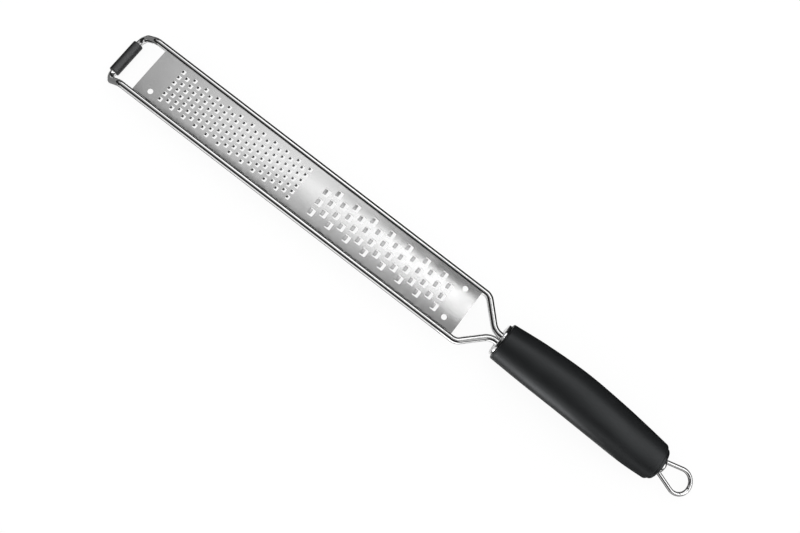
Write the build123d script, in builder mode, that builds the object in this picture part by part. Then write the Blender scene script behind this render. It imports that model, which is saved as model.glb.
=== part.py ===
# Rasp zester: a toothed steel blade welded into a bent wire frame, with a soft-grip handle.
# Millimetres. X runs from the tip to the hanging loop, Y across the blade, +Z up.
# The origin is on the surface that the zester lies on, under the middle of its length.
from math import cos, radians, sin, sqrt, tan
import os

from build123d import *

os.makedirs("parts", exist_ok=True)

# Frame wire
wire_diameter = 4.0
frame_width = 35.7            # across the outsides of the two side wires
leg_gap = 0.05                # between the two wires where they enter the handle
neck_angle = 45.0             # degrees
neck_outer_bend = 6.0         # bend radii are on the wire's centre line
neck_inner_bend = 8.5
tip_angle = 46.0              # degrees, how steeply the tip turns down
tip_drop = 10.6               # side wires' axis down to the crossbar's axis
tip_bend = 6.0
corner_bend = 5.2
leg_depth = 58.0              # wire held inside the handle

# Tip sleeve
sleeve_diameter = 6.2
sleeve_length = 21.2
sleeve_edge = 0.6
sleeve_fit = 0.02             # radial, between wire and sleeve

# Blade
blade_length = 218.6
blade_thickness = 0.5
blade_seat_gap = 0.02         # between the blade's edge and the wire's shoulder
blade_sink = 0.3              # how far the blade's top lies under the wires' tops
tip_gap = 17.9                # crossbar's axis to the blade's tip end
neck_gap = 1.8                # blade's handle end to the start of the neck bend
round_hole_diameter = 3.2
round_hole_end_inset = 8.5    # blade's end to a round hole's centre
round_hole_side_offset = 9.9  # blade's centre line to a round hole's centre

punched_side_offset = 0.4     # centre line of the teeth and round holes from the blade's

# Teeth: a hole in the sheet, with a tongue that rises out of it towards the handle
fine_columns = 23
fine_rows = 6                 # one fewer in every second column
fine_pitch = 4.0
fine_start = 14.3             # blade's tip end to the first column's roots
fine_hole_length = 2.3
fine_hole_width = 2.6
fine_hole_corner = 0.5
fine_tongue_length = 1.1
fine_tongue_width = 1.4
fine_tongue_rise = 0.75
coarse_rows = 3
coarse_pitch = 6.0
coarse_row_pitch = 6.86
field_gap = 13.8              # last fine column's roots to the first coarse column's roots
least_rear_plain = 12.0       # plain sheet behind the last coarse column, at least
coarse_hole_length = 3.9
coarse_hole_width = 4.6
coarse_hole_corner = 0.6
coarse_tongue_length = 1.9
coarse_tongue_width = 3.0
coarse_tongue_rise = 1.2
tongue_root_lap = 0.2         # how far a tongue's root reaches into the sheet

# Weld beads under the blade's edges
weld_count = 6
weld_length = 6.0
weld_radius = 0.9
weld_end_inset = 12.0

# Front collar
collar_diameter = 19.3
collar_thickness = 2.0
collar_edge = 0.9
neck_reach = 0.7              # straight wire between the neck bends and the collar

# Handle
handle_length = 106.2
handle_width = 26.8
handle_height = 24.5
handle_rise = 4.3             # how far the handle's middle arches over the wires' axis
grip_thickness = 1.5
skin_fit = 0.05               # between the grip and the core
grip_front_edge = 0.8
grip_rear_edge = 1.1
socket_fit = 0.03
rear_tilt = 10.0              # degrees, how far the rear end points down
rear_dip = 0.09               # how far the skin bellies below its last section

# The handle's sections: place along it, width, height, rise, drop and tilt
station_shares = (0, 0.20, 0.44, 0.68, 0.86, 1)
width_shares = (0.84, 0.945, 1, 0.985, 0.94, 0.85)
height_shares = (0.92, 0.985, 1, 0.93, 0.82, 0.71)
rise_shares = (0, 0.7, 1, 0.12, 0, 0)
drop_shares = (0, 0, 0, 0, 0.7, 1)
tilt_shares = (0, 0, 0, 0.8, 1, 1)

# End cap, rear disc and hanging loop
cap_gap = 0.4                 # groove between the grip's end and the cap
cap_thickness = 2.1
cap_edge = 1.5
plug_length = 9.0
plug_width = 12.0
plug_height = 6.6
plug_fit = 0.05
cavity_depth = 26.0
disc_diameter = 10.6
disc_thickness = 0.9
disc_edge = 0.4
loop_wire_diameter = 2.5
loop_leg_spacing = 7.0
loop_flare = 16.0             # degrees, each leg from straight
loop_radius = 7.0             # on the wire's centre line
loop_leg_bend = 4.0
loop_leg_depth = 15.0         # wire held inside, from the disc's outer face
loop_hook_bend = 2.0
loop_hook_gap = 1.4
loop_fit = 0.03

overrun = 1.0                 # extra length of every cutting tool

# Derived places along X, first measured from the crossbar's axis
wire_radius = wire_diameter / 2
loop_wire_radius = loop_wire_diameter / 2
side_offset = frame_width / 2 - wire_radius
leg_offset = wire_radius + leg_gap / 2
neck_run = (side_offset - leg_offset) / tan(radians(neck_angle))
outer_tangent = neck_outer_bend * tan(radians(neck_angle / 2))
inner_tangent = neck_inner_bend * tan(radians(neck_angle / 2))
blade_start = tip_gap
blade_end = blade_start + blade_length
neck_outer_corner = blade_end + neck_gap + outer_tangent
neck_inner_corner = neck_outer_corner + neck_run
collar_start = neck_inner_corner + inner_tangent + neck_reach
handle_start = collar_start + collar_thickness
handle_end = handle_start + handle_length

# The rear end's own axis points down by the rear tilt
rear_slope = radians(rear_tilt)
rear_direction = Vector(cos(rear_slope), 0, -sin(rear_slope))
rear_normal = Vector(sin(rear_slope), 0, cos(rear_slope))
flare = radians(loop_flare)
loop_slope_length = (loop_radius * cos(flare) - loop_leg_spacing / 2) / tan(flare)
loop_leg_start = loop_leg_bend * tan(flare / 2)
loop_centre_reach = loop_leg_start + loop_slope_length + loop_radius * sin(flare)
rear_reach = cap_gap + cap_thickness + disc_thickness
loop_end_reach = rear_reach + loop_centre_reach + loop_radius
total_length = sleeve_diameter / 2 + handle_end + loop_end_reach * rear_direction.X + loop_wire_radius
crossbar_x = sleeve_diameter / 2 - total_length / 2

# Derived heights
crossbar_height = sleeve_diameter / 2
wire_height = crossbar_height + tip_drop
blade_top = wire_height + wire_radius - blade_sink
handle_drop = wire_height - handle_height * height_shares[-1] / 2 - rear_dip

# Blade's width: its lower edges rest on the wires' shoulders
shoulder_rise = wire_radius - blade_sink - blade_thickness
shoulder_reach = sqrt(wire_radius**2 - shoulder_rise**2)
blade_width = 2 * (side_offset - shoulder_reach - blade_seat_gap)


def section_plane(number, growth=0):
    # plane of one handle section, moved along its own normal by growth
    tilt = radians(rear_tilt * tilt_shares[number])
    normal = Vector(cos(tilt), 0, -sin(tilt))
    lift = handle_rise * rise_shares[number] - handle_drop * drop_shares[number]
    place = Vector(crossbar_x + handle_start + handle_length * station_shares[number], 0, wire_height + lift)
    return Plane(origin=place + normal * growth, x_dir=(0, 1, 0), z_dir=normal)


front_plane = section_plane(0)
rear_plane = section_plane(len(station_shares) - 1)


def handle_form(inset, front_growth=0, rear_growth=0):
    # the handle's whole form, drawn in by inset all round
    last = len(station_shares) - 1
    with BuildPart() as form:
        for number in range(last + 1):
            growth = {0: front_growth, last: rear_growth}.get(number, 0)
            with BuildSketch(section_plane(number, growth)):
                Ellipse(
                    handle_width * width_shares[number] / 2 - inset,
                    handle_height * height_shares[number] / 2 - inset,
                )
        loft()
    return form.part


# Wire frame
with BuildPart() as wire_frame:
    tip_run = tip_drop / tan(radians(tip_angle))
    leg_end = crossbar_x + handle_start + leg_depth
    half_path = [
        (leg_end, leg_offset, wire_height),
        (crossbar_x + neck_inner_corner, leg_offset, wire_height),
        (crossbar_x + neck_outer_corner, side_offset, wire_height),
        (crossbar_x + tip_run, side_offset, wire_height),
        (crossbar_x, side_offset, crossbar_height),
    ]
    other_half = [(x, -y, z) for x, y, z in reversed(half_path)]
    half_bends = [neck_inner_bend, neck_outer_bend, tip_bend, corner_bend]
    with BuildLine() as frame_path:
        FilletPolyline(*half_path, *other_half, radius=half_bends + half_bends[::-1])
    with BuildSketch(Plane(origin=half_path[0], z_dir=(-1, 0, 0))):
        Circle(wire_radius)
    sweep(path=frame_path.line)
wire_frame.part.label = "wire_frame"

# Tip sleeve
with BuildPart() as tip_sleeve:
    with BuildSketch(Plane(origin=(crossbar_x, sleeve_length / 2, crossbar_height), z_dir=(0, -1, 0))):
        Circle(sleeve_diameter / 2)
        Circle(wire_radius + sleeve_fit, mode=Mode.SUBTRACT)
    extrude(amount=sleeve_length)
    outer_rims = tip_sleeve.edges().filter_by(GeomType.CIRCLE).filter_by(
        lambda edge: abs(edge.radius - sleeve_diameter / 2) < sleeve_fit
    )
    fillet(outer_rims, sleeve_edge)
tip_sleeve.part.label = "tip_sleeve"


def tongue(length, width, rise):
    # a flat tongue with its root at the origin, on the sheet's top, rising towards +X
    slope = sqrt(length**2 + rise**2)
    lean_x = blade_thickness * rise / slope
    lean_z = blade_thickness * length / slope
    root_turn = blade_thickness * (slope - length) / rise
    with BuildPart() as piece:
        with BuildSketch(Plane.XZ):
            with BuildLine():
                Polyline(
                    (-tongue_root_lap, 0),
                    (0, 0),
                    (length, rise),
                    (length + lean_x, rise - lean_z),
                    (root_turn, -blade_thickness),
                    (-tongue_root_lap, -blade_thickness),
                    close=True,
                )
            make_face()
        extrude(amount=width / 2, both=True)
    return piece.part


def toothed_strip(pitch, rows, hole_length, hole_width, hole_corner, tooth):
    # one column of teeth in a strip of sheet: the hole's tip end at X 0, the sheet's top at Z 0
    with BuildPart() as strip:
        with BuildSketch(Plane.XY.offset(-blade_thickness)):
            with Locations((hole_length / 2, 0)):
                Rectangle(pitch, blade_width)
            with Locations(*[(hole_length / 2, y) for y in rows]):
                RectangleRounded(hole_length, hole_width, hole_corner, mode=Mode.SUBTRACT)
        extrude(amount=blade_thickness)
        with Locations(*[(0, y, 0) for y in rows]):
            add(tooth)
    return strip.part


def row_places(count, pitch, shift=0):
    middle = punched_side_offset + shift
    return [middle + (row - (count - 1) / 2) * pitch for row in range(count)]


def fine_strip(count):
    rows = row_places(count, fine_pitch)
    tooth = tongue(fine_tongue_length, fine_tongue_width, fine_tongue_rise)
    return toothed_strip(fine_pitch, rows, fine_hole_length, fine_hole_width, fine_hole_corner, tooth)


def coarse_strip(shift):
    rows = row_places(coarse_rows, coarse_row_pitch, shift)
    tooth = tongue(coarse_tongue_length, coarse_tongue_width, coarse_tongue_rise)
    return toothed_strip(
        coarse_pitch, rows, coarse_hole_length, coarse_hole_width, coarse_hole_corner, tooth
    )


def field_places(start, columns, pitch, first):
    # every second column of a toothed field, from column number first
    return [(start + column * pitch, 0, blade_top) for column in range(first, columns, 2)]


blade_x = crossbar_x + blade_start
blade_middle = blade_x + blade_length / 2
fine_x = blade_x + fine_start
coarse_x = fine_x + (fine_columns - 1) * fine_pitch + field_gap
coarse_room = blade_x + blade_length - least_rear_plain - coarse_hole_length - coarse_x
coarse_columns = 1 + int(coarse_room / coarse_pitch)
fine_margin = (fine_pitch - fine_hole_length) / 2
coarse_margin = (coarse_pitch - coarse_hole_length) / 2

# The plain stretches of the sheet: at the tip, between the fields and at the handle
plain_stretches = (
    (blade_x, fine_x - fine_margin),
    (fine_x - fine_margin + fine_columns * fine_pitch, coarse_x - coarse_margin),
    (coarse_x - coarse_margin + coarse_columns * coarse_pitch, blade_x + blade_length),
)

# Grater blade
with BuildPart() as grater_blade:
    hole_reach = blade_length / 2 - round_hole_end_inset
    with BuildSketch(Plane.XY.offset(blade_top - blade_thickness)):
        for start, end in plain_stretches:
            with Locations(((start + end) / 2, 0)):
                Rectangle(end - start, blade_width)
        with Locations(
            (blade_middle - hole_reach, punched_side_offset - round_hole_side_offset),
            (blade_middle + hole_reach, punched_side_offset - round_hole_side_offset),
            (blade_middle + hole_reach, punched_side_offset + round_hole_side_offset),
        ):
            Circle(round_hole_diameter / 2, mode=Mode.SUBTRACT)
    extrude(amount=blade_thickness)
    with Locations(*field_places(fine_x, fine_columns, fine_pitch, 0)):
        add(fine_strip(fine_rows))
    with Locations(*field_places(fine_x, fine_columns, fine_pitch, 1)):
        add(fine_strip(fine_rows - 1))
    with Locations(*field_places(coarse_x, coarse_columns, coarse_pitch, 0)):
        add(coarse_strip(-coarse_row_pitch / 4))
    with Locations(*field_places(coarse_x, coarse_columns, coarse_pitch, 1)):
        add(coarse_strip(coarse_row_pitch / 4))
grater_blade.part.label = "grater_blade"

# Weld beads, in the corner between the blade's underside and each side wire
with BuildPart() as blade_welds:
    weld_span = blade_length - 2 * weld_end_inset
    weld_step = weld_span / (weld_count - 1)
    weld_height = blade_top - blade_thickness - weld_radius / 2
    weld_side = blade_width / 2 - weld_radius / 2
    with Locations(
        *[
            (blade_x + weld_end_inset + number * weld_step, side * weld_side, weld_height)
            for side in (-1, 1)
            for number in range(weld_count)
        ]
    ):
        Cylinder(weld_radius, weld_length, rotation=(0, 90, 0))
    add(wire_frame.part, mode=Mode.SUBTRACT)
    with Locations((blade_middle, 0, blade_top)):
        Box(blade_length, blade_width, 2 * blade_thickness, mode=Mode.SUBTRACT)
blade_welds.part.label = "blade_welds"

# Front collar
with BuildPart() as front_collar:
    with BuildSketch(front_plane.offset(-collar_thickness)):
        Circle(collar_diameter / 2)
        SlotOverall(
            2 * (leg_offset + wire_radius + socket_fit), 2 * (wire_radius + socket_fit), mode=Mode.SUBTRACT
        )
    extrude(amount=collar_thickness)
    collar_rims = front_collar.edges().filter_by(GeomType.CIRCLE).filter_by(
        lambda edge: edge.radius > collar_diameter / 4
    )
    fillet(collar_rims, collar_edge)
front_collar.part.label = "front_collar"

# Handle core: sockets for the wire ends in front and for the cap's plug behind
with BuildPart() as handle_core:
    add(handle_form(grip_thickness + skin_fit, rear_growth=cap_gap))
    with BuildSketch(front_plane):
        SlotOverall(2 * (leg_offset + wire_radius + socket_fit), 2 * (wire_radius + socket_fit))
    extrude(amount=leg_depth + socket_fit, mode=Mode.SUBTRACT)
    with BuildSketch(rear_plane.offset(cap_gap)):
        SlotOverall(plug_width + 2 * plug_fit, plug_height + 2 * plug_fit)
    extrude(amount=-cavity_depth, mode=Mode.SUBTRACT)
handle_core.part.label = "handle_core"

# Handle grip: the soft skin
with BuildPart() as handle_grip:
    add(handle_form(0))
    front_rim = handle_grip.faces().sort_by(Axis.X)[0].edges()
    rear_rim = handle_grip.faces().sort_by(Axis.X)[-1].edges()
    fillet(front_rim, grip_front_edge)
    fillet(rear_rim, grip_rear_edge)
    add(handle_form(grip_thickness, -overrun, overrun), mode=Mode.SUBTRACT)
handle_grip.part.label = "handle_grip"

# End cap with its plug
with BuildPart() as end_cap:
    cap_plane = rear_plane.offset(cap_gap)
    with BuildSketch(cap_plane):
        Ellipse(
            handle_width * width_shares[-1] / 2 - grip_thickness,
            handle_height * height_shares[-1] / 2 - grip_thickness,
        )
    extrude(amount=cap_thickness)
    cap_rim = end_cap.faces().sort_by(Axis.X)[-1].edges()
    fillet(cap_rim, cap_edge)
    with BuildSketch(cap_plane):
        SlotOverall(plug_width, plug_height)
    extrude(amount=-plug_length)
    with BuildSketch(cap_plane.offset(-plug_length - overrun)):
        with Locations((-loop_leg_spacing / 2, 0), (loop_leg_spacing / 2, 0)):
            Circle(loop_wire_radius + loop_fit)
    extrude(amount=plug_length + cap_thickness + 2 * overrun, mode=Mode.SUBTRACT)
end_cap.part.label = "end_cap"

# Rear disc
with BuildPart() as rear_disc:
    disc_plane = rear_plane.offset(cap_gap + cap_thickness)
    with BuildSketch(disc_plane):
        Circle(disc_diameter / 2)
        with Locations((-loop_leg_spacing / 2, 0), (loop_leg_spacing / 2, 0)):
            Circle(loop_wire_radius + loop_fit, mode=Mode.SUBTRACT)
    extrude(amount=disc_thickness)
    disc_rim = rear_disc.edges().filter_by(GeomType.CIRCLE).filter_by(
        lambda edge: edge.radius > disc_diameter / 4
    )
    fillet(disc_rim.sort_by(Axis.X)[-1], disc_edge)
rear_disc.part.label = "rear_disc"

# Hanging loop, drawn flat on the rear end's own plane: local X along the handle, local Y across
with BuildPart() as hanging_loop:
    face_centre = rear_plane.origin + rear_direction * rear_reach
    loop_plane = Plane(origin=face_centre, x_dir=rear_direction, z_dir=rear_normal)
    half_spacing = loop_leg_spacing / 2
    slope_end = Vector(loop_centre_reach - loop_radius * sin(flare), loop_radius * cos(flare))
    with BuildLine(loop_plane) as loop_path:
        upper = FilletPolyline(
            (-loop_leg_depth, loop_hook_gap / 2),
            (-loop_leg_depth, half_spacing),
            (loop_leg_start, half_spacing),
            (slope_end.X, slope_end.Y),
            radius=[loop_hook_bend, loop_leg_bend],
        )
        ThreePointArc(
            (slope_end.X, slope_end.Y),
            (loop_centre_reach + loop_radius, 0),
            (slope_end.X, -slope_end.Y),
        )
        FilletPolyline(
            (slope_end.X, -slope_end.Y),
            (loop_leg_start, -half_spacing),
            (-loop_leg_depth, -half_spacing),
            (-loop_leg_depth, -loop_hook_gap / 2),
            radius=[loop_leg_bend, loop_hook_bend],
        )
    with BuildSketch(Plane(origin=upper @ 0, z_dir=upper % 0)):
        Circle(loop_wire_radius)
    sweep(path=loop_path.line)
hanging_loop.part.label = "hanging_loop"

for piece in (
    grater_blade,
    wire_frame,
    blade_welds,
    tip_sleeve,
    front_collar,
    handle_core,
    handle_grip,
    end_cap,
    rear_disc,
    hanging_loop,
):
    export_step(piece.part, f"parts/{piece.part.label}.step")
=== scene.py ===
# Rasp zester: steel wires, toothed blade, black grip, and the pale studio it lies in
import math

import bpy
from mathutils import Matrix, Vector, geometry


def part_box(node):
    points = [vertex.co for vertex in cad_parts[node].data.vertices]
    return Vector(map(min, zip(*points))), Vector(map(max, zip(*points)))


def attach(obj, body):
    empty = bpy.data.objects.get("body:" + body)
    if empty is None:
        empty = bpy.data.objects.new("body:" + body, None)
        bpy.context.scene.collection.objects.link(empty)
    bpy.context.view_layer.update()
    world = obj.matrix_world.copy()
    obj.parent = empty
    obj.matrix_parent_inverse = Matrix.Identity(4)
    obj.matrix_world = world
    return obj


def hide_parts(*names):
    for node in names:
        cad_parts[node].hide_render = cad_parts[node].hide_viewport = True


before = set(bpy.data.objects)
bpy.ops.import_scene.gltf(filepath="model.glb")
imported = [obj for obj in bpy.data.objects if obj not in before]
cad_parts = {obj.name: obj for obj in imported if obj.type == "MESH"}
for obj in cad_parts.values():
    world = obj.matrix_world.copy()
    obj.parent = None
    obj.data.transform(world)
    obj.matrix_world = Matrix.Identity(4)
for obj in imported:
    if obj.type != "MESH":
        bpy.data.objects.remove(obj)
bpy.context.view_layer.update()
mm = 0.001


# places that the frame gives, in metres
bladeLow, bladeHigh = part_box("grater_blade")
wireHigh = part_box("wire_frame")[1]
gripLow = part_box("handle_grip")[0]
tipX = bladeLow.x
bladeSink = 0.3 * mm               # how far the blade's top lies under the wires' tops
bladeTop = wireHigh.z - bladeSink


def useNodes(owner):
    # an empty node tree to build in
    owner.use_nodes = True
    owner.node_tree.nodes.clear()
    return owner.node_tree


def addNode(tree, kind, links=None, **settings):
    # one node, with its settings and the values or links of its inputs
    node = tree.nodes.new(kind)
    for name, value in settings.items():
        setattr(node, name, value)
    for name, value in (links or {}).items():
        socket = node.inputs[name]
        if isinstance(value, bpy.types.NodeSocket):
            tree.links.new(value, socket)
        else:
            socket.default_value = value
    return node


def linearColour(shade, tint=(1, 1, 1)):
    # a display grey between 0 and 1 with a slight tint, as the shader wants it
    linear = shade / 12.92 if shade <= 0.04045 else ((shade + 0.055) / 1.055) ** 2.4
    return (linear * tint[0], linear * tint[1], linear * tint[2], 1)


# shader groups

def grainGroup():
    # fine brushed lines along X, with slow patches: a mask around 0.5 and a height
    tree = bpy.data.node_groups.new("brushedGrain", "ShaderNodeTree")
    face = tree.interface
    for name, value in (("Lines per metre", 9000.0), ("Stretch", 0.03), ("Patches per metre", 60.0)):
        socket = face.new_socket(name, in_out="INPUT", socket_type="NodeSocketFloat")
        socket.default_value = value
    for name in ("Lines", "Patches"):
        face.new_socket(name, in_out="OUTPUT", socket_type="NodeSocketFloat")
    enter = addNode(tree, "NodeGroupInput")
    leave = addNode(tree, "NodeGroupOutput")
    place = addNode(tree, "ShaderNodeTexCoord")
    parts = addNode(tree, "ShaderNodeSeparateXYZ", {"Vector": place.outputs["Object"]})
    along = addNode(tree, "ShaderNodeMath", {
        0: parts.outputs["X"], 1: enter.outputs["Stretch"]}, operation="MULTIPLY")
    spread = addNode(tree, "ShaderNodeCombineXYZ", {
        "X": along.outputs[0], "Y": parts.outputs["Y"], "Z": parts.outputs["Z"]})
    lines = addNode(tree, "ShaderNodeTexNoise", {
        "Vector": spread.outputs[0], "Scale": enter.outputs["Lines per metre"],
        "Detail": 3.0, "Roughness": 0.6})
    patches = addNode(tree, "ShaderNodeTexNoise", {
        "Vector": place.outputs["Object"], "Scale": enter.outputs["Patches per metre"], "Detail": 4.0})
    tree.links.new(lines.outputs["Fac"], leave.inputs["Lines"])
    tree.links.new(patches.outputs["Fac"], leave.inputs["Patches"])
    return tree


def speckleGroup():
    # the pebbled skin of soft plastic: a height and slow smudges
    tree = bpy.data.node_groups.new("softSpeckle", "ShaderNodeTree")
    face = tree.interface
    for name, value in (("Grains per metre", 5000.0), ("Smudges per metre", 45.0)):
        socket = face.new_socket(name, in_out="INPUT", socket_type="NodeSocketFloat")
        socket.default_value = value
    for name in ("Grains", "Smudges"):
        face.new_socket(name, in_out="OUTPUT", socket_type="NodeSocketFloat")
    enter = addNode(tree, "NodeGroupInput")
    leave = addNode(tree, "NodeGroupOutput")
    place = addNode(tree, "ShaderNodeTexCoord")
    grains = addNode(tree, "ShaderNodeTexNoise", {
        "Vector": place.outputs["Object"], "Scale": enter.outputs["Grains per metre"], "Detail": 2.0})
    smudges = addNode(tree, "ShaderNodeTexNoise", {
        "Vector": place.outputs["Object"], "Scale": enter.outputs["Smudges per metre"],
        "Detail": 5.0, "Roughness": 0.6})
    tree.links.new(grains.outputs["Fac"], leave.inputs["Grains"])
    tree.links.new(smudges.outputs["Fac"], leave.inputs["Smudges"])
    return tree


brushedGrain = grainGroup()
softSpeckle = speckleGroup()
noiseLow, noiseHigh = 0.3, 0.7     # where nearly all of a noise's values lie
# how early a plastic's base colour turns to its painted rim shade
paintedRimBlend = 0.9                    # how early a plastic takes its edge shade
mattRoughness = 0.9                # floor and cards


def mapRange(tree, value, low, high):
    # the span of a noise spread over low to high
    return addNode(tree, "ShaderNodeMapRange", {
        "Value": value, "From Min": noiseLow, "From Max": noiseHigh,
        "To Min": low, "To Max": high}).outputs["Result"]


def steelMaterial(name, look):
    # metal with a brushed or polished surface
    material = bpy.data.materials.new(name)
    tree = useNodes(material)
    grain = addNode(tree, "ShaderNodeGroup", node_tree=brushedGrain)
    for socket in ("Lines per metre", "Stretch", "Patches per metre"):
        grain.inputs[socket].default_value = look[socket]
    darker = linearColour(look["shade"] - look["shadeSpread"])
    lighter = linearColour(look["shade"] + look["shadeSpread"])
    tone = addNode(tree, "ShaderNodeMix", {
        "Factor": mapRange(tree, grain.outputs["Patches"], 0, 1), 6: darker, 7: lighter}, data_type="RGBA")
    both = addNode(tree, "ShaderNodeMix", {
        "Factor": 0.5, 2: grain.outputs["Lines"], 3: grain.outputs["Patches"]}, data_type="FLOAT")
    rough = mapRange(tree, both.outputs[0], look["roughness"] - look["roughnessSpread"],
                     look["roughness"] + look["roughnessSpread"])
    bump = addNode(tree, "ShaderNodeBump", {
        "Strength": look["bumpStrength"], "Distance": look["bumpHeight"], "Height": grain.outputs["Lines"]})
    shader = addNode(tree, "ShaderNodeBsdfPrincipled", {
        "Base Color": tone.outputs[2], "Metallic": 1.0, "Roughness": rough, "Normal": bump.outputs["Normal"]})
    end = addNode(tree, "ShaderNodeOutputMaterial")
    tree.links.new(shader.outputs[0], end.inputs["Surface"])
    return material


def plasticMaterial(name, look):
    # black plastic or rubber with a fine skin; its base colour darkens from the middle to the outline as
    # seen, a painted highlight and painted shade
    material = bpy.data.materials.new(name)
    tree = useNodes(material)
    skin = addNode(tree, "ShaderNodeGroup", node_tree=softSpeckle)
    for socket in ("Grains per metre", "Smudges per metre"):
        skin.inputs[socket].default_value = look[socket]
    darker = linearColour(look["shade"] - look["shadeSpread"], look["tint"])
    lighter = linearColour(look["shade"] + look["shadeSpread"], look["tint"])
    tone = addNode(tree, "ShaderNodeMix", {
        "Factor": mapRange(tree, skin.outputs["Smudges"], 0, 1), 6: darker, 7: lighter}, data_type="RGBA")
    # painted highlight and shade: the base colour fades to the painted rim shade where the surface turns away
    # from the view
    weight = addNode(tree, "ShaderNodeLayerWeight", {"Blend": paintedRimBlend})
    paintedRimShading = addNode(tree, "ShaderNodeMix", {
        "Factor": weight.outputs["Facing"], 6: tone.outputs[2],
        7: linearColour(look["paintedRimShade"], look["tint"])}, data_type="RGBA")
    sheen = [math.sqrt(part / max(look["tint"])) for part in look["tint"]]
    rough = mapRange(tree, skin.outputs["Smudges"], look["roughness"] - look["roughnessSpread"],
                     look["roughness"] + look["roughnessSpread"])
    bump = addNode(tree, "ShaderNodeBump", {
        "Strength": look["bumpStrength"], "Distance": look["bumpHeight"], "Height": skin.outputs["Grains"]})
    shader = addNode(tree, "ShaderNodeBsdfPrincipled", {
        "Base Color": paintedRimShading.outputs[2], "Roughness": rough, "Normal": bump.outputs["Normal"],
        "Specular IOR Level": look["specular"], "Specular Tint": (*sheen, 1)})
    end = addNode(tree, "ShaderNodeOutputMaterial")
    tree.links.new(shader.outputs[0], end.inputs["Surface"])
    return material


bladeSteel = steelMaterial("bladeSteel", {
    "shade": 0.80, "shadeSpread": 0.012, "roughness": 0.155, "roughnessSpread": 0.03,
    "bumpStrength": 0.10, "bumpHeight": 0.00002,
    "Lines per metre": 6000.0, "Stretch": 0.03, "Patches per metre": 90.0})
wireSteel = steelMaterial("wireSteel", {
    "shade": 0.92, "shadeSpread": 0.01, "roughness": 0.07, "roughnessSpread": 0.03,
    "bumpStrength": 0.04, "bumpHeight": 0.00001,
    "Lines per metre": 2500.0, "Stretch": 0.05, "Patches per metre": 200.0})
weldSteel = steelMaterial("weldSteel", {
    "shade": 0.62, "shadeSpread": 0.06, "roughness": 0.42, "roughnessSpread": 0.1,
    "bumpStrength": 0.6, "bumpHeight": 0.0001,
    "Lines per metre": 1500.0, "Stretch": 1.0, "Patches per metre": 900.0})
gripRubber = plasticMaterial("gripRubber", {
    "shade": 0.105, "paintedRimShade": 0.105, "shadeSpread": 0.008, "tint": (0.93, 1.0, 1.06),
    "roughness": 0.43, "roughnessSpread": 0.04,
    "specular": 0.5, "bumpStrength": 0.25, "bumpHeight": 0.00003,
    "Grains per metre": 6000.0, "Smudges per metre": 40.0})
capPlastic = plasticMaterial("capPlastic", {
    "shade": 0.10, "paintedRimShade": 0.10, "shadeSpread": 0.008, "tint": (0.93, 1.0, 1.06),
    "roughness": 0.30, "roughnessSpread": 0.05,
    "specular": 0.5, "bumpStrength": 0.2, "bumpHeight": 0.00002,
    "Grains per metre": 9000.0, "Smudges per metre": 90.0})
corePlastic = plasticMaterial("corePlastic", {
    "shade": 0.2, "paintedRimShade": 0.2, "shadeSpread": 0.01, "tint": (1, 1, 1),
    "roughness": 0.5, "roughnessSpread": 0.05,
    "specular": 0.5, "bumpStrength": 0.1, "bumpHeight": 0.00002,
    "Grains per metre": 4000.0, "Smudges per metre": 60.0})
# the sleeve's lighter middle is a painted highlight and its dark rim is painted shade, in place of the
# rubber's sheen
sleeveRubber = plasticMaterial("sleeveRubber", {
    "shade": 0.29, "paintedRimShade": 0.05, "shadeSpread": 0.01, "tint": (0.98, 1.0, 1.03),
    "roughness": 0.36, "roughnessSpread": 0.05,
    "specular": 0.5, "bumpStrength": 0.2, "bumpHeight": 0.00003,
    "Grains per metre": 4000.0, "Smudges per metre": 150.0})
print("materials made")


def dress(nodeName, material):
    # gives a carried-over piece its finish
    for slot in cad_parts[nodeName].material_slots:
        slot.material = material


dress("blade_welds", weldSteel)
dress("tip_sleeve", sleeveRubber)
dress("front_collar", wireSteel)
dress("handle_core", corePlastic)
dress("end_cap", capPlastic)


# tools for Geometry Nodes

def geometryTree(name, sizes):
    # a node group that takes a mesh or curve and named sizes
    tree = bpy.data.node_groups.new(name, "GeometryNodeTree")
    face = tree.interface
    face.new_socket("Geometry", in_out="INPUT", socket_type="NodeSocketGeometry")
    for size, kind in sizes:
        face.new_socket(size, in_out="INPUT", socket_type="NodeSocket" + kind)
    face.new_socket("Geometry", in_out="OUTPUT", socket_type="NodeSocketGeometry")
    return tree, addNode(tree, "NodeGroupInput"), addNode(tree, "NodeGroupOutput")


def mathNode(tree, operation, first, second):
    # one Math node
    return addNode(tree, "ShaderNodeMath", {0: first, 1: second}, operation=operation).outputs[0]


def risingEdge(tree, value, place, softness):
    # a mask that goes from 0 to 1 where the value passes a place
    low = mathNode(tree, "SUBTRACT", place, softness)
    high = mathNode(tree, "ADD", place, softness)
    return addNode(tree, "ShaderNodeMapRange", {
        "Value": value, "From Min": low, "From Max": high}, interpolation_type="SMOOTHSTEP").outputs["Result"]


def addModifier(piece, tree, values):
    # a Geometry Nodes modifier with its sizes set by each socket's identifier
    modifier = piece.modifiers.new(tree.name, "NODES")
    modifier.node_group = tree
    for item in tree.interface.items_tree:
        if item.in_out == "INPUT" and item.name in values:
            modifier[item.identifier] = values[item.name]
    return modifier


def settle(piece, name):
    # turns what the modifiers make into a plain mesh on a clean object
    bpy.context.view_layer.update()
    shape = piece.evaluated_get(bpy.context.evaluated_depsgraph_get())
    mesh = bpy.data.meshes.new_from_object(shape)
    mesh.name = name
    result = bpy.data.objects.new(name, mesh)
    bpy.context.collection.objects.link(result)
    bpy.data.objects.remove(piece)
    return result


def finish(piece, slotName, *nodes):
    # a finished piece rides on the one body and stands for its solids
    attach(piece, "root")
    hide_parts(*nodes)


sharpAngle = 50.0                  # degrees, where the handle's and the disc's edges stay crisp

# bent wires

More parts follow.
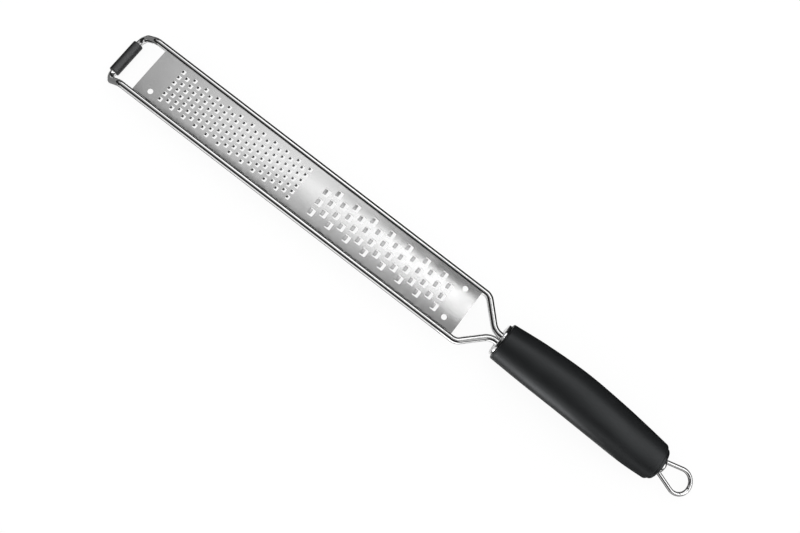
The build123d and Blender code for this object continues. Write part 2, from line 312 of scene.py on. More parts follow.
def arcAround(corner, before, after, radius, step):
    # points on the arc that rounds one corner of a path
    back = (before - corner).normalized()
    ahead = (after - corner).normalized()
    turn = math.pi - back.angle(ahead)
    centre = corner + (back + ahead).normalized() * radius / math.cos(turn / 2)
    start = corner + back * radius * math.tan(turn / 2) - centre
    axis = start.cross(corner - centre)
    count = max(2, math.ceil(math.degrees(turn) / step))
    return [centre + Matrix.Rotation(turn * i / count, 3, axis) @ start for i in range(count + 1)]


def roundedPath(corners, radii, step):
    # a path of straight runs and arcs, as points close enough to look round
    points = [corners[0]]
    for i, radius in enumerate(radii):
        points += arcAround(corners[i + 1], corners[i], corners[i + 2], radius, step)
    return points + [corners[-1]]


def wireTree():
    tree, enter, leave = geometryTree("bentWire", (
        ("Wire radius", "Float"), ("Sides", "Int"), ("Material", "Material")))
    circle = addNode(tree, "GeometryNodeCurvePrimitiveCircle", {
        "Resolution": enter.outputs["Sides"], "Radius": enter.outputs["Wire radius"]})
    tube = addNode(tree, "GeometryNodeCurveToMesh", {
        "Curve": enter.outputs["Geometry"], "Profile Curve": circle.outputs["Curve"], "Fill Caps": True})
    smooth = addNode(tree, "GeometryNodeSetShadeSmooth", {"Geometry": tube.outputs["Mesh"]})
    real = addNode(tree, "GeometryNodeRealizeInstances", {"Geometry": smooth.outputs[0]})
    cover = addNode(tree, "GeometryNodeSetMaterial", {
        "Geometry": real.outputs[0], "Material": enter.outputs["Material"]})
    tree.links.new(cover.outputs[0], leave.inputs["Geometry"])
    return tree


bentWire = wireTree()


def makeWire(name, points, radius, sides, material):
    curve = bpy.data.curves.new(name, "CURVE")
    curve.dimensions = "3D"
    spline = curve.splines.new("POLY")
    spline.points.add(len(points) - 1)
    for place, point in zip(spline.points, points):
        place.co = (*point, 1)
    path = bpy.data.objects.new(name + "Path", curve)
    bpy.context.collection.objects.link(path)
    addModifier(path, bentWire, {"Wire radius": radius, "Sides": sides, "Material": material})
    wire = settle(path, name)
    for polygon in wire.data.polygons:
        polygon.use_smooth = len(polygon.vertices) == 4
    return wire


frameWire = {
    "radius": 2.0 * mm,
    "legOffset": 2.025 * mm,       # wire's centre line from the middle, inside the handle
    "neckGap": 1.8 * mm,           # blade's end to the start of the neck bend
    "neckAngle": 45.0,             # degrees
    "neckOuterBend": 6.0 * mm,
    "neckInnerBend": 8.5 * mm,
    "tipAngle": 46.0,
    "tipBend": 6.0 * mm,
    "cornerBend": 5.2 * mm,
    "arcStep": 3.0,                # degrees between points on a bend
    "sides": 40,
}


def makeFrameWire(size):
    low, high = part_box("wire_frame")
    radius = size["radius"]
    sideY = high.y - radius
    topZ = high.z - radius
    barX, barZ = low.x + radius, low.z + radius
    tipRun = (topZ - barZ) / math.tan(math.radians(size["tipAngle"]))
    tangent = size["neckOuterBend"] * math.tan(math.radians(size["neckAngle"] / 2))
    outerX = bladeHigh.x + size["neckGap"] + tangent
    innerX = outerX + (sideY - size["legOffset"]) / math.tan(math.radians(size["neckAngle"]))
    half = [Vector(point) for point in (
        (high.x, size["legOffset"], topZ),
        (innerX, size["legOffset"], topZ),
        (outerX, sideY, topZ),
        (barX + tipRun, sideY, topZ),
        (barX, sideY, barZ))]
    corners = half + [Vector((point.x, -point.y, point.z)) for point in reversed(half)]
    bends = [size["neckInnerBend"], size["neckOuterBend"], size["tipBend"], size["cornerBend"]]
    points = roundedPath(corners, bends + bends[::-1], size["arcStep"])
    wire = makeWire("frameWire", points, radius, size["sides"], wireSteel)
    finish(wire, "frame_steel", "wire_frame")


makeFrameWire(frameWire)
print("frame wire made")

hangingLoop = {
    "radius": 1.25 * mm,
    "tilt": 10.0,                  # degrees, the loop's own plane points down
    "halfSpacing": 3.5 * mm,
    "flare": 16.0,                 # degrees, each leg
    "legBend": 4.0 * mm,
    "loopRadius": 7.0 * mm,
    "roundCorners": 4,             # corners whose arcs make the round end
    "legDepth": 15.0 * mm,
    "hookGap": 0.7 * mm,
    "hookBend": 2.0 * mm,
    "arcStep": 5.0,
    "sides": 32,
}


def makeHangingLoop(size):
    low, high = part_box("hanging_loop")
    radius = size["radius"]
    flare = math.radians(size["flare"])
    tilt = math.radians(size["tilt"])
    bend = size["loopRadius"]
    legStart = size["legBend"] * math.tan(flare / 2)
    slope = (bend * math.cos(flare) - size["halfSpacing"]) / math.tan(flare)
    centre = legStart + slope + bend * math.sin(flare)
    reach = centre + bend
    # flat outline: local X along the handle, local Y across
    inner, spacing = -size["legDepth"], size["halfSpacing"]
    half = [(inner, size["hookGap"]), (inner, spacing), (legStart, spacing)]
    count = size["roundCorners"]
    turn = (math.pi + 2 * flare) / count
    corner = bend / math.cos(turn / 2)
    angles = [math.pi / 2 + flare - turn * (i + 0.5) for i in range(count)]
    flat = half + [(centre + corner * math.cos(a), corner * math.sin(a)) for a in angles]
    flat += [(x, -y) for x, y in reversed(half)]
    startX = high.x - radius - reach * math.cos(tilt)
    startZ = low.z + radius + reach * math.sin(tilt)
    points = [Vector((startX + x * math.cos(tilt), y, startZ - x * math.sin(tilt))) for x, y in flat]
    ends = [size["hookBend"], size["legBend"]]
    path = roundedPath(points, ends + [bend] * count + ends[::-1], size["arcStep"])
    loop = makeWire("hangingLoop", path, radius, size["sides"], wireSteel)
    finish(loop, "loop_steel", "hanging_loop")


makeHangingLoop(hangingLoop)
print("hanging loop made")


# the domed disc that the loop comes out of

rearDisc = {
    "tilt": 10.0,                  # degrees, as the handle's end
    "dome": 2.6 * mm,
    "rim": 0.3 * mm,               # how far the dome starts under the plain disc's face
    "domeRings": 8,
    "sides": 64,
}


def makeRearDisc(size):
    low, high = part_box("rear_disc")
    tilt = math.radians(size["tilt"])
    radius = (high.y - low.y) / 2
    thickness = (high.x - low.x - 2 * radius * math.sin(tilt)) / math.cos(tilt)
    centre = (low + high) / 2
    ahead = Vector((math.cos(tilt), 0, -math.sin(tilt)))
    up = Vector((math.sin(tilt), 0, math.cos(tilt)))
    back, front = -thickness / 2, thickness / 2 - size["rim"]
    profile = [(back, radius)]
    for i in range(size["domeRings"]):
        turn = math.pi / 2 * i / size["domeRings"]
        profile.append((front + size["dome"] * math.sin(turn), radius * math.cos(turn)))
    sides = size["sides"]
    verts = []
    for along, ring in profile:
        for i in range(sides):
            turn = math.tau * i / sides
            verts.append(centre + ahead * along + up * ring * math.sin(turn)
                         + Vector((0, -ring * math.cos(turn), 0)))
    faces = []
    for r in range(len(profile) - 1):
        for i in range(sides):
            j = (i + 1) % sides
            faces.append((r * sides + i, r * sides + j, (r + 1) * sides + j, (r + 1) * sides + i))
    last = (len(profile) - 1) * sides
    faces.append(tuple(range(sides))[::-1])
    top = len(verts)
    verts.append(centre + ahead * (front + size["dome"]))
    faces += [(last + i, last + (i + 1) % sides, top) for i in range(sides)]
    mesh = bpy.data.meshes.new("domedDisc")
    mesh.from_pydata(verts, [], faces)
    mesh.materials.append(wireSteel)
    mesh.shade_smooth()
    mesh.set_sharp_from_angle(angle=math.radians(sharpAngle))
    disc = bpy.data.objects.new("domedDisc", mesh)
    bpy.context.collection.objects.link(disc)
    finish(disc, "disc_steel", "rear_disc")


makeRearDisc(rearDisc)
print("rear disc made")


# the toothed blade

sheet = {
    "thickness": 0.5 * mm,
    "middle": 0.4 * mm,            # centre line of the teeth from the blade's
    "crown": 0.28 * mm,            # how far the sheet's middle stands above its edges
    "plateau": 6.6 * mm,           # half width of the flat middle under the coarse teeth
    "plateauMiddle": 0.6 * mm,
    "plateauBlend": 12.0 * mm,
    "plateauShare": 0.57,          # how much of the crown is flat there
    "edgeRoll": 0.12 * mm,         # how far the edge on the -Y side bends down on its wire
    "edgeRollWidth": 0.5 * mm,
    "holeRadius": 1.6 * mm,
    "holeInset": 8.5 * mm,
    "holeOffset": 9.9 * mm,
    "holeSides": 32,
    "holeClearance": 1.25,         # plain points stay this many radii from a hole
    "spacing": 3.2 * mm,           # between points on the plain stretches, along and then across
    "spacingAcross": 2.0 * mm,
    "rowsAcross": 6,               # on each side of the middle
    "endSteps": 9,                 # steps along each short end
    "margin": 1.0 * mm,            # kept free around a field and along the edges
    "rollRows": (0.35, 0.65, 1),   # rows of points on the rolled edge, as shares of its width
    "weldGap": 0.02 * mm,          # points closer than this become one
    "sharpAngle": 40.0,
}
fineTeeth = {
    "start": 14.3 * mm,            # blade's tip end to the first roots
    "columns": 23, "rows": 6, "pitch": 4.0 * mm, "rowPitch": 4.0 * mm,
    "shortOdd": True, "lean": 0.0,     # every second column has a tooth less; pitches it leans to one side
    "holeLength": 2.3 * mm, "holeWidth": 2.6 * mm, "holeCorner": 0.5 * mm,
    "length": 1.15 * mm, "width": 1.4 * mm, "corner": 0.5 * mm, "rise": 0.75 * mm, "cup": 0.10 * mm,
    "leastRise": 0.8, "seed": 3,
}
coarseTeeth = {
    "start": 116.7 * mm,
    "columns": 15, "rows": 3, "pitch": 6.0 * mm, "rowPitch": 6.86 * mm,
    "shortOdd": False, "lean": 0.5,
    "holeLength": 3.7 * mm, "holeWidth": 4.4 * mm, "holeCorner": 0.6 * mm,
    "length": 1.8 * mm, "width": 3.15 * mm, "corner": 0.5 * mm, "rise": 0.77 * mm, "cup": 0.04 * mm,
    "leastRise": 0.85, "seed": 8,
}


joinGap = 1e-8                     # flat points closer than this are the same
tiny = 1e-9


def roundCorner(x, y, radius, start, steps=4):
    # points on a quarter circle around x, y, from an angle in quarter turns
    return [(x + radius * math.cos((start + i / steps) * math.pi / 2),
             y + radius * math.sin((start + i / steps) * math.pi / 2)) for i in range(steps + 1)]


def inside(point, loop):
    # whether a point lies in a closed outline
    hit = False
    for (x1, y1), (x2, y2) in zip(loop, loop[1:] + loop[:1]):
        if (y1 > point[1]) != (y2 > point[1]) and point[0] < x1 + (point[1] - y1) * (x2 - x1) / (y2 - y1):
            hit = not hit
    return hit


def flatMesh(name, loops, extra, height=None):
    # a sheet inside the first loop and outside the others, with extra points inside it
    points = [Vector(point) for loop in loops for point in loop]
    edges = []
    for loop in loops:
        first = len(edges)
        edges += [(first + i, first + (i + 1) % len(loop)) for i in range(len(loop))]
    points += [Vector(point) for point in extra]
    found = geometry.delaunay_2d_cdt(points, edges, [], 0, joinGap)
    verts, faces = found[0], found[2]
    kept = []
    for face in faces:
        middle = sum((verts[i] for i in face), Vector((0, 0))) / len(face)
        if inside(middle, loops[0]) and not any(inside(middle, loop) for loop in loops[1:]):
            kept.append(face)
    mesh = bpy.data.meshes.new(name)
    mesh.from_pydata([(v.x, v.y, height(v.x, v.y) if height else 0) for v in verts], [], kept)
    piece = bpy.data.objects.new(name, mesh)
    bpy.context.collection.objects.link(piece)
    return piece


bendShare = 0.25                   # share of a tongue's length that its bend takes
toothPoints = {
    # inner points that carry a tongue's form, as shares of its half width and length
    "across": 0.6,
    "along": (0.5, 0.75),
    "rootPart": 3,                 # the row before the root lies this part of the bend away
    "rootSide": 1.1,
}


def toothCell(name, size):
    # one tooth in its own patch of sheet: the hole's tip end at X 0
    halfPitch = size["rowPitch"] / 2
    margin = (size["pitch"] - size["holeLength"]) / 2
    left, right = -margin, size["holeLength"] + margin
    border = [(left, -halfPitch), (right, -halfPitch), (right, 0),
              (right, halfPitch), (left, halfPitch), (left, 0)]
    end, side, corner = size["holeLength"], size["holeWidth"] / 2, size["holeCorner"]
    reach, half, tip = size["length"], size["width"] / 2, size["corner"]
    hole = (roundCorner(corner, -side + corner, corner, 2)
            + roundCorner(end - corner, -side + corner, corner, 3)
            + roundCorner(end - corner, side - corner, corner, 0)
            + roundCorner(corner, side - corner, corner, 1))
    bend = bendShare * reach
    tongue = ([(0, half), (bend, half)] + roundCorner(reach - tip, half - tip, tip, 0)[::-1]
              + roundCorner(reach - tip, tip - half, tip, 3)[::-1] + [(bend, -half), (0, -half)])
    across = (-half * toothPoints["across"], 0, half * toothPoints["across"])
    along = (0, bend / 2, bend, *(reach * share for share in toothPoints["along"]))
    extra = [(x, y) for x in along for y in across]
    outer = half * toothPoints["rootSide"]
    extra += [(-bend / toothPoints["rootPart"], y) for y in (-outer, *across, outer)]

    def height(x, y):
        # bent up at the root, then straight, and cupped across
        if x <= 0 or abs(y) > half + tiny or x > reach + tiny:
            return 0
        share = x / reach
        run = share**2 / (2 * bendShare) if share < bendShare else share - bendShare / 2
        return size["rise"] * run / (1 - bendShare / 2) - size["cup"] * (y / half) ** 2 * share

    return flatMesh(name, [border, hole + tongue], extra, height)


def fieldOutline(size):
    # the edge of a toothed field, with every point that its teeth have there
    x = tipX + size["start"] - (size["pitch"] - size["holeLength"]) / 2
    pitch, halfRow = size["pitch"], size["rowPitch"] / 2

    def span(column):
        # the half rows that one column of teeth covers
        odd = column % 2
        rows = size["rows"] - (odd if size["shortOdd"] else 0)
        middle = odd - size["lean"] - (odd if size["shortOdd"] else 0)
        return middle - rows, middle + rows

    def side(column):
        low, high = span(column)
        steps = round(high - low)
        return [sheet["middle"] + halfRow * (low + i) for i in range(steps + 1)]

    under, over = [], []
    for column in range(size["columns"]):
        low, high = span(column)
        ends = (x + pitch * column, x + pitch * (column + 1))
        under += [(end, sheet["middle"] + halfRow * low) for end in ends]
        over += [(end, sheet["middle"] + halfRow * high) for end in ends]
    last = size["columns"] - 1
    ahead = [(x + pitch * size["columns"], y) for y in side(last)[1:-1]]
    back = [(x, y) for y in side(0)[1:-1]]
    return under + ahead + over[::-1] + back[::-1]


def plainSheet():
    # the blade between and around its toothed fields, with its round holes
    length, half = bladeHigh.x - tipX, bladeHigh.y
    fields = [fieldOutline(fineTeeth), fieldOutline(coarseTeeth)]
    edgeX = sorted({round(x, 7) for loop in fields for x, y in loop})
    rear = bladeHigh.x - sheet["holeInset"]
    offset = sheet["holeOffset"]
    centres = ((tipX + sheet["holeInset"], sheet["middle"] - offset), (rear, sheet["middle"] - offset),
               (rear, sheet["middle"] + offset))
    sides, radius, margin = sheet["holeSides"], sheet["holeRadius"], sheet["margin"]
    turns = [math.tau * i / sides for i in range(sides)]
    holes = [[(x + radius * math.cos(turn), y + radius * math.sin(turn)) for turn in turns]
             for x, y in centres]
    step, ends = sheet["spacing"], sheet["endSteps"]
    inner = edgeX + [tipX + step * i for i in range(1, int(length / step))]
    inner = [x for x in sorted(inner) if tipX + step / 2 < x < bladeHigh.x - step / 2]
    border = ([(tipX, -half)] + [(x, -half) for x in inner] + [(bladeHigh.x, -half)]
              + [(bladeHigh.x, -half + 2 * half * i / ends) for i in range(1, ends)]
              + [(bladeHigh.x, half)] + [(x, half) for x in inner[::-1]] + [(tipX, half)]
              + [(tipX, half - 2 * half * i / ends) for i in range(1, ends)])
    extra = []
    rows = sheet["rowsAcross"]
    across = [sheet["middle"] + sheet["spacingAcross"] * i for i in range(-rows, rows + 1)]
    for i in range(1, int(length / step)):
        for y in across:
            point = (tipX + step * i, y)
            clear = all(math.dist(point, centre) > radius * sheet["holeClearance"] for centre in centres)
            nearField = any(inside((point[0] + dx, point[1] + dy), loop) for loop in fields
                            for dx in (-margin, margin) for dy in (-margin, margin))
            if clear and not nearField and abs(y) < half - margin:
                extra.append(point)
        extra += [(tipX + step * i, sheet["edgeRollWidth"] * share - half) for share in sheet["rollRows"]]
    return flatMesh("plainSheet", [border] + fields + holes, extra)


def fieldTree():
    # teeth in staggered columns, joined to the sheet around them
    tree, enter, leave = geometryTree("toothField", (
        ("Tooth", "Object"), ("Columns", "Int"), ("Rows", "Int"), ("Pitch", "Float"), ("Row pitch", "Float"),
        ("Start", "Float"), ("Middle", "Float"), ("Lean", "Float"), ("Short odd columns", "Bool"),
        ("Least rise", "Float"), ("Seed", "Int")))
    size = enter.outputs
    count = mathNode(tree, "MULTIPLY", size["Columns"], size["Rows"])
    index = addNode(tree, "GeometryNodeInputIndex").outputs[0]
    column = mathNode(tree, "FLOOR", mathNode(tree, "DIVIDE", index, size["Rows"]), 0)
    row = mathNode(tree, "MODULO", index, size["Rows"])
    odd = mathNode(tree, "MODULO", column, 2)
    lastRow = mathNode(tree, "SUBTRACT", size["Rows"], 1)
    x = mathNode(tree, "ADD", size["Start"], mathNode(tree, "MULTIPLY", column, size["Pitch"]))
    fromMiddle = mathNode(tree, "SUBTRACT", row, mathNode(tree, "DIVIDE", lastRow, 2))
    shift = mathNode(tree, "DIVIDE", mathNode(tree, "SUBTRACT", odd, size["Lean"]), 2)
    y = mathNode(tree, "ADD", size["Middle"], mathNode(
        tree, "MULTIPLY", mathNode(tree, "ADD", fromMiddle, shift), size["Row pitch"]))
    place = addNode(tree, "ShaderNodeCombineXYZ", {"X": x, "Y": y})
    points = addNode(tree, "GeometryNodePoints", {"Count": count, "Position": place.outputs[0]})
    surplus = mathNode(tree, "MULTIPLY", mathNode(tree, "MULTIPLY", odd, size["Short odd columns"]),
                      mathNode(tree, "COMPARE", row, lastRow))
    kept = addNode(tree, "GeometryNodeDeleteGeometry", {"Geometry": points.outputs[0], "Selection": surplus})
    tooth = addNode(tree, "GeometryNodeObjectInfo", {"Object": size["Tooth"], "As Instance": True})
    rise = addNode(tree, "FunctionNodeRandomValue", {"Seed": size["Seed"]}, data_type="FLOAT")
    tree.links.new(size["Least rise"], rise.inputs[2])
    rise.inputs[3].default_value = 1.0
    scale = addNode(tree, "ShaderNodeCombineXYZ", {"X": 1.0, "Y": 1.0, "Z": rise.outputs[1]})
    teeth = addNode(tree, "GeometryNodeInstanceOnPoints", {
        "Points": kept.outputs[0], "Instance": tooth.outputs["Geometry"], "Scale": scale.outputs[0]})
    real = addNode(tree, "GeometryNodeRealizeInstances", {"Geometry": teeth.outputs[0]})
    joined = addNode(tree, "GeometryNodeJoinGeometry")
    tree.links.new(enter.outputs["Geometry"], joined.inputs[0])
    tree.links.new(real.outputs[0], joined.inputs[0])
    cover = addNode(tree, "GeometryNodeSetMaterial", {"Geometry": joined.outputs[0], "Material": bladeSteel})
    tree.links.new(cover.outputs[0], leave.inputs["Geometry"])
    return tree


def crownTree():
    # closes the seams, lifts the sheet's middle, flatter under the coarse teeth, and rolls one long edge down
    tree, enter, leave = geometryTree("crownedSheet", (
        ("Seam", "Float"), ("Height", "Float"), ("Crown", "Float"), ("Half width", "Float"),
        ("Plateau", "Float"), ("Plateau middle", "Float"), ("Plateau start", "Float"),
        ("Plateau blend", "Float"),
        ("Plateau share", "Float"), ("Edge roll", "Float"), ("Edge roll width", "Float")))
    size = enter.outputs

    def bulge(across, flat):
        # a parabola that falls from 1 to 0 between the flat part and the edge
        beyond = mathNode(tree, "MAXIMUM", mathNode(tree, "SUBTRACT", across, flat), 0)
        slope = mathNode(tree, "DIVIDE", beyond, mathNode(tree, "SUBTRACT", size["Half width"], flat))
        return mathNode(tree, "SUBTRACT", 1, mathNode(tree, "MULTIPLY", slope, slope))

    merged = addNode(tree, "GeometryNodeMergeByDistance", {
        "Geometry": size["Geometry"], "Distance": size["Seam"]})
    place = addNode(tree, "GeometryNodeInputPosition").outputs[0]
    parts = addNode(tree, "ShaderNodeSeparateXYZ", {"Vector": place})
    share = risingEdge(tree, parts.outputs["X"], size["Plateau start"], size["Plateau blend"])
    flat = mathNode(tree, "MULTIPLY", share, size["Plateau"])
    middle = mathNode(tree, "MULTIPLY", share, size["Plateau middle"])
    wide = bulge(mathNode(tree, "ABSOLUTE", parts.outputs["Y"], 0), 0)
    fromMiddle = mathNode(tree, "SUBTRACT", parts.outputs["Y"], middle)
    level = bulge(mathNode(tree, "ABSOLUTE", fromMiddle, 0), flat)
    mixed = addNode(tree, "ShaderNodeMix", {0: size["Plateau share"], 2: wide, 3: level}, data_type="FLOAT")
    rollStart = mathNode(tree, "SUBTRACT", size["Half width"], size["Edge roll width"])
    rolled = bulge(mathNode(tree, "MULTIPLY", parts.outputs["Y"], -1), rollStart)
    drop = mathNode(tree, "MULTIPLY", mathNode(tree, "SUBTRACT", 1, rolled), size["Edge roll"])
    rise = mathNode(tree, "SUBTRACT", mathNode(tree, "MULTIPLY", mixed.outputs[0], size["Crown"]), drop)
    offset = addNode(tree, "ShaderNodeCombineXYZ", {"Z": mathNode(tree, "ADD", size["Height"], rise)})
    moved = addNode(tree, "GeometryNodeSetPosition", {
        "Geometry": merged.outputs[0], "Offset": offset.outputs[0]})
    real = addNode(tree, "GeometryNodeRealizeInstances", {"Geometry": moved.outputs[0]})
    cover = addNode(tree, "GeometryNodeSetMaterial", {"Geometry": real.outputs[0], "Material": bladeSteel})
    tree.links.new(cover.outputs[0], leave.inputs["Geometry"])
    return tree


def makeBlade():
    piece = plainSheet()
    field = fieldTree()
    cells = []
    for name, size in (("fineTooth", fineTeeth), ("coarseTooth", coarseTeeth)):
        cell = toothCell(name, size)
        cells.append(cell)
        addModifier(piece, field, {
            "Tooth": cell, "Columns": size["columns"], "Rows": size["rows"], "Pitch": size["pitch"],
            "Row pitch": size["rowPitch"], "Start": tipX + size["start"], "Middle": sheet["middle"],
            "Lean": size["lean"], "Short odd columns": size["shortOdd"],
            "Least rise": size["leastRise"], "Seed": size["seed"]})
    addModifier(piece, crownTree(), {
        "Seam": sheet["weldGap"], "Height": bladeTop, "Crown": sheet["crown"],
        "Half width": bladeHigh.y, "Plateau": sheet["plateau"], "Plateau middle": sheet["plateauMiddle"],
        "Plateau start": tipX + coarseTeeth["start"], "Plateau blend": sheet["plateauBlend"],
        "Plateau share": sheet["plateauShare"], "Edge roll": sheet["edgeRoll"],
        "Edge roll width": sheet["edgeRollWidth"]})
    solid = piece.modifiers.new("sheetThickness", "SOLIDIFY")
    solid.thickness = sheet["thickness"]
    solid.offset = -1
    solid.use_even_offset = True
    blade = settle(piece, "toothedBlade")
    for cell in cells:
        bpy.data.objects.remove(cell)
    blade.data.shade_smooth()
    blade.data.set_sharp_from_angle(angle=math.radians(sheet["sharpAngle"]))
    finish(blade, "blade_steel", "grater_blade")


makeBlade()
print("blade made")


# the handle's soft skin

grip = {
    "length": 106.2 * mm,
    "width": 26.8 * mm,
    "height": 24.5 * mm,
    "rise": 4.3 * mm,              # how far the handle's middle arches over the wires' axis
    "tilt": 10.0,                  # degrees, the rear end
    "wall": 1.5 * mm,
    "frontEdge": 0.8 * mm,
    "rearEdge": 1.1 * mm,
    "dip": 0.09 * mm,              # how far the skin bellies below its last section
    # shares of the sizes above at places along the handle
    "stations": (0, 0.20, 0.44, 0.68, 0.86, 1),
    "widths": (0.84, 0.945, 1, 0.985, 0.94, 0.85),
    "heights": (0.92, 0.985, 1, 0.93, 0.82, 0.71),
    "rises": (0, 0.7, 1, 0.12, 0, 0),
    "drops": (0, 0, 0, 0, 0.7, 1),
    "tilts": (0, 0, 0, 0.8, 1, 1),
    "rings": 72, "sides": 96, "edgeSteps": 5,
}


def smoothValue(stations, values, at):
    # the value between stations, on a smooth curve through all of them
    last = len(stations) - 1
    i = min(last - 1, max(0, sum(station <= at for station in stations) - 1))

    def steepness(k):
        low, high = max(0, k - 1), min(last, k + 1)
        return (values[high] - values[low]) / (stations[high] - stations[low])

    run = stations[i + 1] - stations[i]
    t = (at - stations[i]) / run
    return ((2 * t**3 - 3 * t**2 + 1) * values[i] + (t**3 - 2 * t**2 + t) * run * steepness(i)
            + (3 * t**2 - 2 * t**3) * values[i + 1] + (t**3 - t**2) * run * steepness(i + 1))


def gripRing(size, at, inset, shift=0):
    # one closed ring of the handle's form, drawn in by inset and moved along the handle by shift
    def value(name):
        return smoothValue(size["stations"], size[name], at)

    topZ = wireHigh.z - frameWire["radius"]
    drop = topZ - size["height"] * size["heights"][-1] / 2 - size["dip"]
    centreZ = topZ + size["rise"] * value("rises") - drop * value("drops")
    centre = Vector((gripLow.x + size["length"] * at, 0, centreZ))
    tilt = math.radians(size["tilt"] * value("tilts"))
    ahead = Vector((math.cos(tilt), 0, -math.sin(tilt)))
    up = Vector((math.sin(tilt), 0, math.cos(tilt)))
    wide = size["width"] * value("widths") / 2 - inset
    tall = size["height"] * value("heights") / 2 - inset
    sides = size["sides"]
    return [centre + ahead * shift + Vector((0, wide * math.cos(math.tau * i / sides), 0))
            + up * tall * math.sin(math.tau * i / sides) for i in range(sides)]


def ringStack(name, rings, material):
    # a closed skin over rings of as many points, the last joined to the first
    mesh = bpy.data.meshes.new(name)
    count = len(rings[0])
    verts = [point for ring in rings for point in ring]
    faces = []
    for r in range(len(rings)):
        s = (r + 1) % len(rings)
        faces += [(r * count + i, r * count + (i + 1) % count, s * count + (i + 1) % count, s * count + i)
                  for i in range(count)]
    mesh.from_pydata(verts, [], faces)
    mesh.materials.append(material)
    mesh.shade_smooth()
    mesh.set_sharp_from_angle(angle=math.radians(sharpAngle))
    piece = bpy.data.objects.new(name, mesh)
    bpy.context.collection.objects.link(piece)
    return piece


def makeGrip(size):
    rings = []
    steps = size["edgeSteps"]
    front, rear, length = size["frontEdge"], size["rearEdge"], size["length"]
    for i in range(steps + 1):
        turn = math.pi / 2 * i / steps
        rings.append(gripRing(size, front * (1 - math.cos(turn)) / length, front * (1 - math.sin(turn))))
    for i in range(1, size["rings"]):
        at = front / length + (1 - (front + rear) / length) * i / size["rings"]
        rings.append(gripRing(size, at, 0))
    for i in range(steps + 1):
        turn = math.pi / 2 * i / steps
        rings.append(gripRing(size, 1 - rear * (1 - math.sin(turn)) / length, rear * (1 - math.cos(turn))))
    for i in range(size["rings"] // 2 + 1):
        rings.append(gripRing(size, 1 - i / (size["rings"] // 2), size["wall"]))
    piece = ringStack("gripSkin", rings, gripRubber)
    finish(piece, "grip_rubber", "handle_grip")


makeGrip(grip)
print("grip made")


# the studio

floorSettings = {
    "halfWidth": 3.0,          # metres
    "shade": 0.99,
    "shadowShare": 0.08,       # how much of the floor's look comes from its real light
}


def makeFloor(settings):
    # a white floor with the object's soft shadow, see-through from below
    mesh = bpy.data.meshes.new("floor")
    half = settings["halfWidth"]
    corners = [(-half, -half, 0), (half, -half, 0), (half, half, 0), (-half, half, 0)]
    mesh.from_pydata(corners, [], [(0, 1, 2, 3)])
    floor = bpy.data.objects.new("floor", mesh)
    bpy.context.collection.objects.link(floor)
    material = bpy.data.materials.new("floorWhite")
    tree = useNodes(material)
    matt = addNode(tree, "ShaderNodeBsdfPrincipled", {
        "Base Color": linearColour(settings["shade"]), "Roughness": mattRoughness, "Specular IOR Level": 0.0})
    glow = addNode(tree, "ShaderNodeEmission", {"Color": (1, 1, 1, 1), "Strength": 1.0})
    ray = addNode(tree, "ShaderNodeLightPath")
    share = addNode(tree, "ShaderNodeMath", {
        0: ray.outputs["Is Camera Ray"], 1: 1 - settings["shadowShare"]}, operation="MULTIPLY")
    mix = addNode(tree, "ShaderNodeMixShader", {0: share.outputs[0], 1: matt.outputs[0], 2: glow.outputs[0]})
    side = addNode(tree, "ShaderNodeNewGeometry")
    clear = addNode(tree, "ShaderNodeBsdfTransparent")
    below = addNode(tree, "ShaderNodeMixShader", {
        0: side.outputs["Backfacing"], 1: mix.outputs[0], 2: clear.outputs[0]})
    end = addNode(tree, "ShaderNodeOutputMaterial")
    tree.links.new(below.outputs[0], end.inputs["Surface"])
    mesh.materials.append(material)


worldSettings = {
    # soft panels seen by steel; low and high are degrees from straight up towards +Y,
    # start and end are sines towards +X, and a slant moves the low edge with them
    "dark": 0.02,
    "grey": {"level": 0.34, "low": -12.0, "lowSoft": 8.0, "end": -0.88, "endSoft": 0.07},
    "box": {"level": 1.5, "low": 24.4, "lowSoft": 3.0, "high": 47.0, "highSoft": 6.0,
            "end": -0.62, "endSoft": 0.07},
    "front": {"level": 0.90, "low": 17.0, "lowSoft": 6.0, "high": 24.8, "highSoft": 2.5,
              "end": -0.62, "endSoft": 0.07},
    "glow": {"level": 1.05, "low": 28.7, "slant": 97.0, "lowSoft": 2.5, "end": -0.244, "endSoft": 0.10},
    "strip": {"level": 3.5, "low": 14.0, "lowSoft": 0.7, "high": 16.1, "highSoft": 0.7,
              "end": -0.12, "endSoft": 0.11},
    "haze": {"level": 0.28, "low": -5.0, "slant": -62.0, "lowSoft": 5.0, "high": 19.0, "highSoft": 3.0,
             "start": -0.28, "startSoft": 0.07, "end": -0.02, "endSoft": 0.07},
    "flag": {"level": -0.33, "low": 17.2, "lowSoft": 1.5, "end": -0.06, "endSoft": 0.06},
    "wall": {"level": 0.90, "high": -71.0, "highSoft": 7.0, "end": -0.5, "endSoft": 0.1},
    "rear": {"level": 0.8, "low": -34.0, "lowSoft": 8.0, "end": 0.50, "endSoft": 0.07},
    "overhead": 1.62,              # the even light straight up, fading to the sides
}


def product(tree, level, *masks):
    # a level times its masks
    result = level
    for mask in masks:
        result = mathNode(tree, "MULTIPLY", result, mask)
    return result


